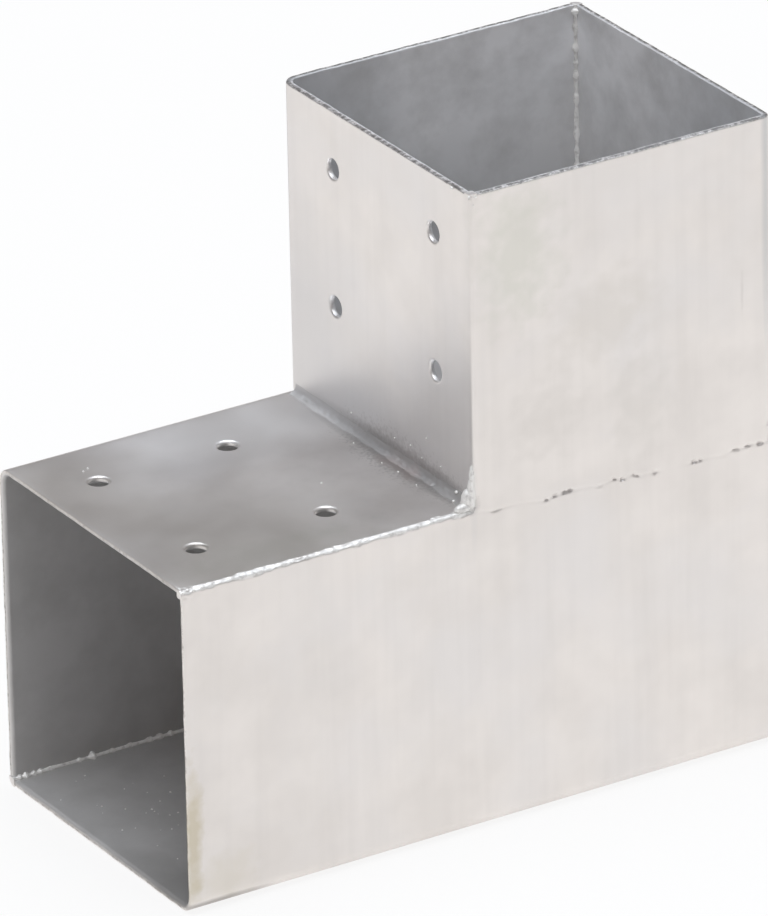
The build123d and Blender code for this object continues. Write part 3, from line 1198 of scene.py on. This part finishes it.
        # The last of these layers lays painted shade on the inside
        layers = (
            (cool_clouds, self.cool), (streaks, self.streaked), (dark_spots, self.edge_dark),
            (light_spots, self.edge_light), (inside, self.inside_tint), (inside_shade, self.inside_shade),
        )
        for pattern, tint in layers:
            colour = tint.lay(tree, pattern, colour)
        for patch in self.patches:
            colour = patch.lay(tree, place, colour)
        smears = add_node(
            tree, "ShaderNodeTexNoise",
            {"Vector": place, "Scale": 1 / self.smear, "Detail": 6.0, "Roughness": 0.6},
        ).outputs["Fac"]
        smears = add_node(tree, "ShaderNodeMath", {0: smears, 1: inside}, operation="MULTIPLY").outputs[0]
        colour = self.smeared.lay(tree, smears, colour)
        low, high = NOISE_RANGE
        rough = add_node(
            tree, "ShaderNodeMapRange",
            {0: clouds, 1: low, 2: high, 3: self.roughness[0], 4: self.roughness[1]},
        ).outputs[0]
        rough = add_node(tree, "ShaderNodeMix", {0: inside, 2: rough, 3: self.inside_roughness}).outputs[0]
        metal = add_node(
            tree, "ShaderNodeMix", {0: inside, 2: self.metallic, 3: self.inside_metallic}
        ).outputs[0]
        grain = add_node(
            tree, "ShaderNodeTexNoise", {"Vector": place, "Scale": 1 / self.grain, "Detail": 2.0}
        ).outputs["Fac"]
        bump = add_node(
            tree, "ShaderNodeBump", {"Height": grain, "Strength": 1.0, "Distance": self.grain_depth}
        ).outputs[0]
        edge_bump = add_node(
            tree, "ShaderNodeBump",
            {"Height": dark_spots, "Strength": 1.0, "Distance": self.grit_depth, "Normal": bump},
        ).outputs[0]
        return add_node(
            tree, "ShaderNodeBsdfPrincipled",
            {"Base Color": colour, "Metallic": metal, "Roughness": rough, "Normal": edge_bump},
        ).outputs[0]


@dataclass(frozen=True)
class WeldZinc:
    """Weld metal under the same zinc: like the sheet where it is ground, brighter and lumpy where laid."""

    ground: GalvanisedSheet
    bright: str = "#F8F7F4"
    darker_tone: str = "#DAD8D5"
    lump: float = 1.4 * MM
    lump_range: Pair = (0.32, 0.50)  # noise at which the lumps are dull and bright
    metallic: float = 0.35
    roughness: Pair = (0.40, 0.55)
    relief: float = 0.06 * MM
    relief_strength: float = 0.6

    def make(self) -> bpy.types.Material:
        """Builds the material.

        Returns:
            The node material.
        """
        material = bpy.data.materials.new("zinc_over_weld")
        tree = empty_tree(material)
        place = add_node(tree, "ShaderNodeTexCoord").outputs["Object"]
        lumps = add_node(
            tree, "ShaderNodeTexNoise", {"Vector": place, "Scale": 1 / self.lump, "Detail": 3.0}
        ).outputs["Fac"]
        tone = add_node(
            tree, "ShaderNodeMapRange", {0: lumps, 1: self.lump_range[0], 2: self.lump_range[1]}
        ).outputs[0]
        colour = add_node(
            tree, "ShaderNodeMix", {0: tone, 6: linear(self.darker_tone), 7: linear(self.bright)}, data_type="RGBA"
        ).outputs[2]
        low, high = NOISE_RANGE
        rough = add_node(
            tree, "ShaderNodeMapRange",
            {0: lumps, 1: low, 2: high, 3: self.roughness[1], 4: self.roughness[0]},
        ).outputs[0]
        bump = add_node(
            tree, "ShaderNodeBump",
            {"Height": lumps, "Strength": self.relief_strength, "Distance": self.relief},
        ).outputs[0]
        laid = add_node(
            tree, "ShaderNodeBsdfPrincipled",
            {"Base Color": colour, "Metallic": self.metallic, "Roughness": rough, "Normal": bump},
        ).outputs[0]
        as_laid = add_node(tree, "ShaderNodeAttribute", attribute_name="as_laid").outputs["Fac"]
        both = add_node(
            tree, "ShaderNodeMixShader", {0: as_laid, 1: self.ground.shader(tree), 2: laid}
        ).outputs[0]
        add_node(tree, "ShaderNodeOutputMaterial", {"Surface": both})
        return material


@dataclass
class Sleeve:
    """What both sleeves share: their place in the frame, their finish and their holes' pattern."""

    relief: Relief
    left: float
    right: float
    front: float
    back: float
    low: float
    high: float
    hole_pitch_along: float = 40 * MM
    hole_pitch_across: float = 50 * MM
    hole_end_distance: float = 17 * MM  # from the mouth to the first row
    hole_shift: float = 0.0  # towards the front from the middle of the wall
    inside_shade: Pair = (0.8, 0.75)  # how much painted shade darkens the inside, at the mouth and deep down
    grit: float = 0.58
    inner_round: float = 1.3 * MM

    NODES = ""  # how the names of its nodes start
    WAY = Way.LYING
    MOUTH = 0  # which end of its run is open to view

    @property
    def run(self) -> Pair:
        """The two ends of its run."""
        return (self.left, self.right) if self.WAY is Way.LYING else (self.low, self.high)

    def plate(self, name: str, corners: tuple[Pair, Pair, Pair], **sizes: object) -> AnglePlate:
        """Plans one of its plates, with what all of them share.

        Args:
            name: the plate's name, with which its node's name ends.
            corners: the plate's outer line.
            sizes: the plate's own sizes.

        Returns:
            The plate.
        """
        return AnglePlate(
            name, f"{self.NODES}_{name}", self.WAY, corners, self.run, self.relief, inside_shade=self.inside_shade,
            mouth=self.run[self.MOUTH], grit=self.grit, inner_round=self.inner_round, **sizes,
        )

    def corner_weld(
        self, name: str, seed: int, corner: Pair, inward: tuple[Pair, Pair], **sizes: object
    ) -> CornerWeld:
        """Plans one of its corner welds, ground all along unless its sizes say otherwise.

        Args:
            name: the weld's name, with which its node's name ends.
            seed: the seed of its noise.
            corner: the sleeve's outside corner in its section.
            inward: directions along the two walls from that corner.
            sizes: the weld's own sizes.

        Returns:
            The weld.
        """
        sizes = {"ground_to": self.run[1], **sizes}
        return CornerWeld(
            name, f"{self.NODES}_{name}", self.relief, seed, way=self.WAY, corner=corner, inward=inward,
            run=self.run, **sizes,
        )

    def hole_pattern(self, plate: AnglePlate) -> tuple[Pair, ...]:
        """Places of a plate's four holes on its second wall.

        Args:
            plate: the plate, whose second wall starts after its bend at the back.

        Returns:
            Pairs of the distance across the plate and the place along it.
        """
        middle = plate.second + (self.back - self.front) / 2 - plate.bend + self.hole_shift
        into = 1 if self.MOUTH == 0 else -1
        rows = (self.hole_end_distance, self.hole_end_distance + self.hole_pitch_along)
        return tuple(
            (middle + side * self.hole_pitch_across / 2, plate.mouth + into * row)
            for side in (-1, 1) for row in rows
        )


@dataclass
class BeamSleeve(Sleeve):
    """The lying sleeve: two bent plates and two corner welds."""

    step: float = 0.0  # where the post sleeve starts
    hole_shift: float = 1.5 * MM

    NODES = "beam_sleeve"
    WAY = Way.LYING
    MOUTH = 0
    FLECKS = 36
    FLECK_SEED = 7
    FLECK_RADII = (0.12, 0.30)  # in millimetres, as the places are
    FLECK_X = (-88, -54)
    FLECK_Y = (-22, 38)
    FLECK_LENGTHS = (0.8, 1.3)  # shares of the radius
    FLECK_HEIGHT = 0.7

    # Drops of the root bead that show inside the mouth: place along X, length and height, in millimetres
    ROOT_DROPS = (
        (-90.5, 1.6, 1.2), (-88.6, 1.8, 1.4), (-86.0, 1.6, 1.2), (-84.0, 1.6, 1.1), (-81.0, 1.4, 1.0),
        (-71.8, 1.6, 1.0), (-67.7, 2.2, 1.8), (-61.5, 2.0, 1.0), (-55.8, 2.6, 1.0), (-49.7, 3.0, 1.1),
        (-46.6, 2.6, 1.3), (-43.0, 2.0, 1.2),
    )
    # Drops at the front corner of the mouth
    MOUTH_DROPS = (
        ((-91.8, -47.1, 94.3), (0.5, 0.3, 0.4)), ((-90.2, -46.4, 94.6), (0.6, 0.5, 0.3)),
        ((-88.6, -47.1, 94.3), (0.45, 0.3, 0.4)), ((-91.7, -45.0, 94.6), (0.5, 0.6, 0.3)),
    )

    def build(self) -> tuple[list[bpy.types.Object], list[bpy.types.Object]]:
        """Builds the sleeve's pieces.

        Returns:
            The plates and the welds.
        """
        top_back = self.plate(
            "top_back_plate",
            ((self.back, WELD_LEG), (self.back, self.high), (self.front + WELD_LEG, self.high)),
        )
        front_bottom = self.plate(
            "front_bottom_plate",
            ((self.front, self.high - WELD_LEG), (self.front, self.low), (self.back - WELD_LEG, self.low)),
            spacing_across=1.5 * MM,
        )
        top_back.holes = self.hole_pattern(top_back)
        # The grid is finer by the mouth, the inner corner of the L and the welded edge in front
        mouth_zone = (self.left, self.left + 8 * MM, 0.6 * MM)
        top_back.zones_along = (mouth_zone, (self.step - 11 * MM, self.step, 0.8 * MM))
        top_back.zones_across = (
            (0.0, top_back.first, 1.6 * MM), (top_back.width - 5 * MM, top_back.width, 0.7 * MM)
        )
        front_bottom.zones_along = (mouth_zone, (self.step, self.right, 0.5 * MM))
        front_bottom.zones_across = ((0.0, 5 * MM, 0.4 * MM),)
        top_front_weld = self.corner_weld(
            "top_front_weld", seed=31, corner=(self.front, self.high), inward=((0, -1), (1, 0)),
            ground_to=self.step, rough=0.34 * MM, bead=1.05 * MM, blobs=self.MOUTH_DROPS,
        )
        bottom_back_weld = self.corner_weld(
            "bottom_back_weld", seed=32, corner=(self.back, self.low), inward=((0, 1), (-1, 0)),
            blobs=self.floor_flecks(), round=SOFT_ROUND, drops=self.ROOT_DROPS,
        )
        plates = [top_back.build(), front_bottom.build()]
        return plates, [top_front_weld.build(), bottom_back_weld.build()]

    def floor_flecks(self) -> tuple[Blob, ...]:
        """Scatters zinc flecks on the inside of the bottom wall.

        Returns:
            The flecks.
        """
        random = np.random.default_rng(self.FLECK_SEED)
        floor = (self.low + SHEET) / MM
        flecks = []
        for _ in range(self.FLECKS):
            radius = random.uniform(*self.FLECK_RADII)
            x, y = random.uniform(*self.FLECK_X), random.uniform(*self.FLECK_Y)
            length = radius * random.uniform(*self.FLECK_LENGTHS)
            flecks.append(((x, y, floor), (radius, length, radius * self.FLECK_HEIGHT)))
        return tuple(flecks)


@dataclass
class PostSleeve(Sleeve):
    """The standing sleeve: two bent plates, two corner welds and the joint to the beam sleeve."""

    hole_shift: float = 4.0 * MM
    # painted shade inside: none at the mouth, more deep down
    inside_shade: Pair = (0.0, 0.5)
    grit: float = 0.9
    inner_round: float = 0.35 * MM

    NODES = "post_sleeve"
    WAY = Way.STANDING
    MOUTH = 1
    FLARE_INSET = (1.2 * MM, 0.6 * MM)  # how far the weld at the back stops short of either side

    # Drops of the root bead that show inside the mouth: place along Z, length and height, in millimetres
    ROOT_DROPS = (
        (183.2, 2.6, 1.5), (178.5, 3.4, 1.1), (172.5, 3.0, 1.3), (168.0, 2.4, 1.0), (164.0, 4.0, 1.2),
        (157.5, 4.0, 1.2), (152.0, 2.6, 1.0), (147.5, 4.5, 1.3), (142.0, 3.0, 1.1), (137.5, 3.0, 1.3),
    )
    # The lump's tail up the corner, and drops round it
    SPATTER = (
        ((-2.6, -46.2, 98.0), (1.3, 1.2, 6.0)), ((-2.5, -46.4, 103.0), (0.8, 0.9, 4.4)),
        ((-3.2, -45.6, 96.8), (2.1, 1.8, 3.8)), ((-4.9, -46.1, 95.4), (3.0, 1.3, 1.3)),
        ((-3.2, -43.6, 95.4), (1.2, 1.2, 0.9)),
        ((-2.6, -38.9, 96.6), (0.5, 0.6, 0.5)), ((-4.6, -40.6, 95.1), (0.5, 0.5, 0.4)),
        ((-2.6, -24.3, 106.7), (0.2, 0.3, 0.3)), ((-2.6, -39.1, 184.3), (0.4, 0.6, 0.5)),
        ((-27.2, -10.8, 94.9), (0.35, 0.35, 0.2)), ((-75.7, 31.1, 94.9), (0.35, 0.35, 0.2)),
        ((-73.8, 32.1, 94.9), (0.3, 0.3, 0.2)), ((-6.6, -16.3, 94.9), (0.25, 0.25, 0.2)),
        ((-6.8, 5.8, 94.9), (0.25, 0.25, 0.2)), ((-2.5, 13.9, 99.6), (0.2, 0.25, 0.25)),
        ((-2.5, -21.5, 99.8), (0.2, 0.25, 0.25)), ((-2.5, -8.0, 100.5), (0.2, 0.25, 0.25)),
        ((-7.2, -9.0, 94.9), (0.25, 0.25, 0.2)), ((-7.0, -26.0, 94.9), (0.25, 0.25, 0.2)),
        ((-2.5, -31.0, 100.9), (0.2, 0.25, 0.25)), ((-2.5, -16.0, 101.5), (0.2, 0.25, 0.2)),
    )
    # Bright drops at the front corner of the mouth
    RIM_DROPS = (
        ((-2.2, -47.1, 184.2), (0.5, 0.3, 0.6)), ((-0.4, -47.2, 184.2), (0.6, 0.25, 0.5)),
        ((-1.2, -47.2, 181.8), (0.5, 0.25, 0.7)),
    )

    def build(self) -> tuple[list[bpy.types.Object], list[bpy.types.Object]]:
        """Builds the sleeve's pieces.

        Returns:
            The plates and the welds.
        """
        left, right, front, back = self.left, self.right, self.front, self.back
        left_back = self.plate(
            "left_back_plate", ((right - WELD_LEG, back), (left, back), (left, front + WELD_LEG)),
            low_end=EdgeForm.BUTT,
        )
        front_right = self.plate(
            "front_right_plate", ((left + WELD_LEG, front), (right, front), (right, back - WELD_LEG)),
            bend=CRISP_BEND, low_end=EdgeForm.BEVEL,
        )
        left_back.holes = self.hole_pattern(left_back)
        # The grid is finer by the mouth, the inner corner of the L and the welded edge in front
        left_back.zones_along = (
            (self.low, self.low + 11 * MM, 0.8 * MM), (self.high - 3 * MM, self.high, 0.6 * MM)
        )
        front_right.zones_along = ((self.high - 5 * MM, self.high, 0.6 * MM),)
        front_right.zones_across = ((0.0, 5 * MM, 0.6 * MM),)
        front_left_weld = self.corner_weld(
            "front_left_weld", seed=33, corner=(left, front), inward=((1, 0), (0, 1)), blobs=self.RIM_DROPS
        )
        back_right_weld = self.corner_weld(
            "back_right_weld", seed=34, corner=(right, back), inward=((-1, 0), (0, -1)),
            round=SOFT_ROUND, drops=self.ROOT_DROPS,
        )
        bevel = BevelWeld(
            "joint_bevel_weld", "joint_front_right_weld", self.relief, seed=35, plate=front_right
        )
        fillet = FilletWeld(
            "joint_fillet_weld", "joint_left_fillet_weld", self.relief, seed=36, blobs=self.SPATTER,
            x=left, z=self.low, run=(front + CORNER_ROUND, back - BEND_OUTSIDE),
        )
        flare = FlareWeld(
            "joint_flare_weld", "joint_back_weld", self.relief, seed=37, back=back, end=right, z=self.low,
            run=(left + self.FLARE_INSET[0], right - self.FLARE_INSET[1]),
        )
        plates = [left_back.build(), front_right.build()]
        welds = [front_left_weld, back_right_weld, bevel, fillet, flare]
        return plates, [weld.build() for weld in welds]


@dataclass(frozen=True)
class Studio:
    """Pale floor, soft studio light and the photograph's viewpoint."""

    floor_half: float = 8.0
    floor_below: float = 0.05 * MM  # gap under the bracket, which keeps the two faces apart
    floor_colour: str = "#F4F3F2"
    lens: float = 452.14
    sensor: float = 36.0
    distance: float = 3.0705
    azimuth: float = radians(31.462)
    elevation: float = radians(24.916)
    roll: float = radians(-1.176)
    aim: Triple = (-0.97 * MM, 0.03 * MM, 91.16 * MM)
    sight: float = 50.0  # how far the camera sees
    lamp_place: Triple = (-0.6, -0.8, 2.6)
    lamp_size: float = 2.4
    lamp_power: float = 16.0
    floor_glow: float = 0.85  # share of plain light in what the camera and the zinc see of it
    floor_reflected: str = "#FFFBF7"
    ceiling_from: float = 0.76  # sine of the height at which the bright ceiling starts
    ceiling_to: float = 0.94
    ceiling_glow: float = 3.0
    # Its surround by height, from a pale lower half over darker walls to a pale ceiling
    surround: tuple[tuple[float, str], ...] = (
        (0.49, "#F2F1F0"), (0.51, "#8A8482"), (0.86, "#827E7D"), (0.95, "#ECF2FA")
    )

    def add_camera(self) -> None:
        """Adds the camera at the photograph's viewpoint."""
        data = bpy.data.cameras.new("camera")
        data.lens = self.lens
        data.sensor_width = self.sensor
        data.clip_end = self.sight
        camera = bpy.data.objects.new("camera", data)
        bpy.context.scene.collection.objects.link(camera)
        flat = cos(self.elevation)
        look = Vector((sin(self.azimuth) * flat, cos(self.azimuth) * flat, -sin(self.elevation)))
        right = look.cross(Vector((0, 0, 1))).normalized()
        up = right.cross(look)
        turned = right * cos(self.roll) + up * sin(self.roll)
        turned_up = up * cos(self.roll) - right * sin(self.roll)
        place = Matrix((turned, turned_up, -look)).transposed().to_4x4()
        place.translation = Vector(self.aim) - look * self.distance
        camera.matrix_world = place
        bpy.context.scene.camera = camera

    def add_floor(self) -> None:
        """Adds the floor, just under the bracket."""
        reach, z = self.floor_half, -self.floor_below
        mesh = bpy.data.meshes.new("floor")
        corners = [(x * reach, y * reach, z) for x, y in ((-1, -1), (1, -1), (1, 1), (-1, 1))]
        mesh.from_pydata(corners, [], [(0, 1, 2, 3)])
        floor = bpy.data.objects.new("floor", mesh)
        bpy.context.scene.collection.objects.link(floor)
        material = bpy.data.materials.new("matt_white_floor")
        tree = empty_tree(material)
        path = add_node(tree, "ShaderNodeLightPath")
        seen = path.outputs["Is Camera Ray"]
        for kind in ("Is Glossy Ray", "Is Transmission Ray"):
            seen = add_node(
                tree, "ShaderNodeMath", {0: seen, 1: path.outputs[kind]}, operation="MAXIMUM"
            ).outputs[0]
        matt = add_node(tree, "ShaderNodeBsdfDiffuse", {"Color": linear(self.floor_colour)}).outputs[0]
        tint = add_node(
            tree, "ShaderNodeMix",
            {0: path.outputs["Is Glossy Ray"], 6: linear("#FFFFFF"), 7: linear(self.floor_reflected)},
            data_type="RGBA",
        ).outputs[2]
        glow = add_node(tree, "ShaderNodeEmission", {"Color": tint, "Strength": 1.0}).outputs[0]
        share = add_node(
            tree, "ShaderNodeMath", {0: seen, 1: self.floor_glow}, operation="MULTIPLY"
        ).outputs[0]
        surface = add_node(tree, "ShaderNodeMixShader", {0: share, 1: matt, 2: glow}).outputs[0]
        add_node(tree, "ShaderNodeOutputMaterial", {"Surface": surface})
        mesh.materials.append(material)

    def add_world(self) -> None:
        """Adds the studio's walls and ceiling as a soft gradient by height."""
        world = bpy.data.worlds.new("studio")
        bpy.context.scene.world = world
        tree = empty_tree(world)
        way = add_node(tree, "ShaderNodeTexCoord").outputs["Generated"]
        height = add_node(tree, "ShaderNodeSeparateXYZ", {0: way}).outputs[2]
        share = add_node(tree, "ShaderNodeMapRange", {0: height, 1: -1.0, 2: 1.0}).outputs[0]
        ramp = add_node(tree, "ShaderNodeValToRGB", {0: share})
        stops = ramp.color_ramp.elements
        while len(stops) < len(self.surround):
            stops.new(1.0)
        for stop, (position, colour) in zip(stops, self.surround):
            stop.position = position
            stop.color = linear(colour)
        overhead = add_node(
            tree, "ShaderNodeMapRange",
            {0: height, 1: self.ceiling_from, 2: self.ceiling_to, 3: 1.0, 4: self.ceiling_glow},
        ).outputs[0]
        back = add_node(
            tree, "ShaderNodeBackground", {"Color": ramp.outputs[0], "Strength": overhead}
        ).outputs[0]
        add_node(tree, "ShaderNodeOutputWorld", {"Surface": back})

    def add_lamp(self) -> None:
        """Adds one broad soft lamp overhead."""
        data = bpy.data.lights.new("softbox", "AREA")
        data.shape = "DISK"
        data.size = self.lamp_size
        data.energy = self.lamp_power
        lamp = bpy.data.objects.new("softbox", data)
        lamp.location = self.lamp_place
        away = Vector(self.lamp_place) - Vector(self.aim)
        lamp.rotation_euler = away.to_track_quat("Z", "Y").to_euler()
        bpy.context.scene.collection.objects.link(lamp)

    def build(self) -> None:
        """Adds all of it."""
        bpy.context.scene.view_settings.view_transform = "Standard"
        self.add_camera()
        self.add_floor()
        self.add_world()
        self.add_lamp()


def dress(pieces: list[bpy.types.Object], material: bpy.types.Material) -> None:
    """Gives pieces their material and their place on the body.

    Args:
        pieces: the pieces.
        material: the material that they share.
    """
    for piece in pieces:
        piece.data.materials.append(material)
        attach(piece, "root")
        log.info("%s: %s, %d faces", piece.name, material.name, len(piece.data.polygons))


def main() -> None:
    """Builds the studio and the bracket."""
    logging.basicConfig(level=logging.INFO, format="%(name)s: %(message)s")
    Studio().build()
    low, high = (Vector(corner) for corner in CAD_BOX)
    post_low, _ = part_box("post_sleeve_left_back_plate")
    relief = Relief(front=low.y, left=low.x, seat=post_low.z, top=high.z, step=post_low.x)
    beam = BeamSleeve(relief, low.x, high.x, low.y, high.y, low.z, post_low.z, step=post_low.x)
    post = PostSleeve(relief, post_low.x, high.x, low.y, high.y, post_low.z, high.z)
    zinc = GalvanisedSheet()
    sheet, weld = zinc.make(), WeldZinc(zinc).make()
    for sleeve in (beam, post):
        plates, welds = sleeve.build()
        dress(plates, sheet)
        dress(welds, weld)


if __name__ == "__main__":
    main()
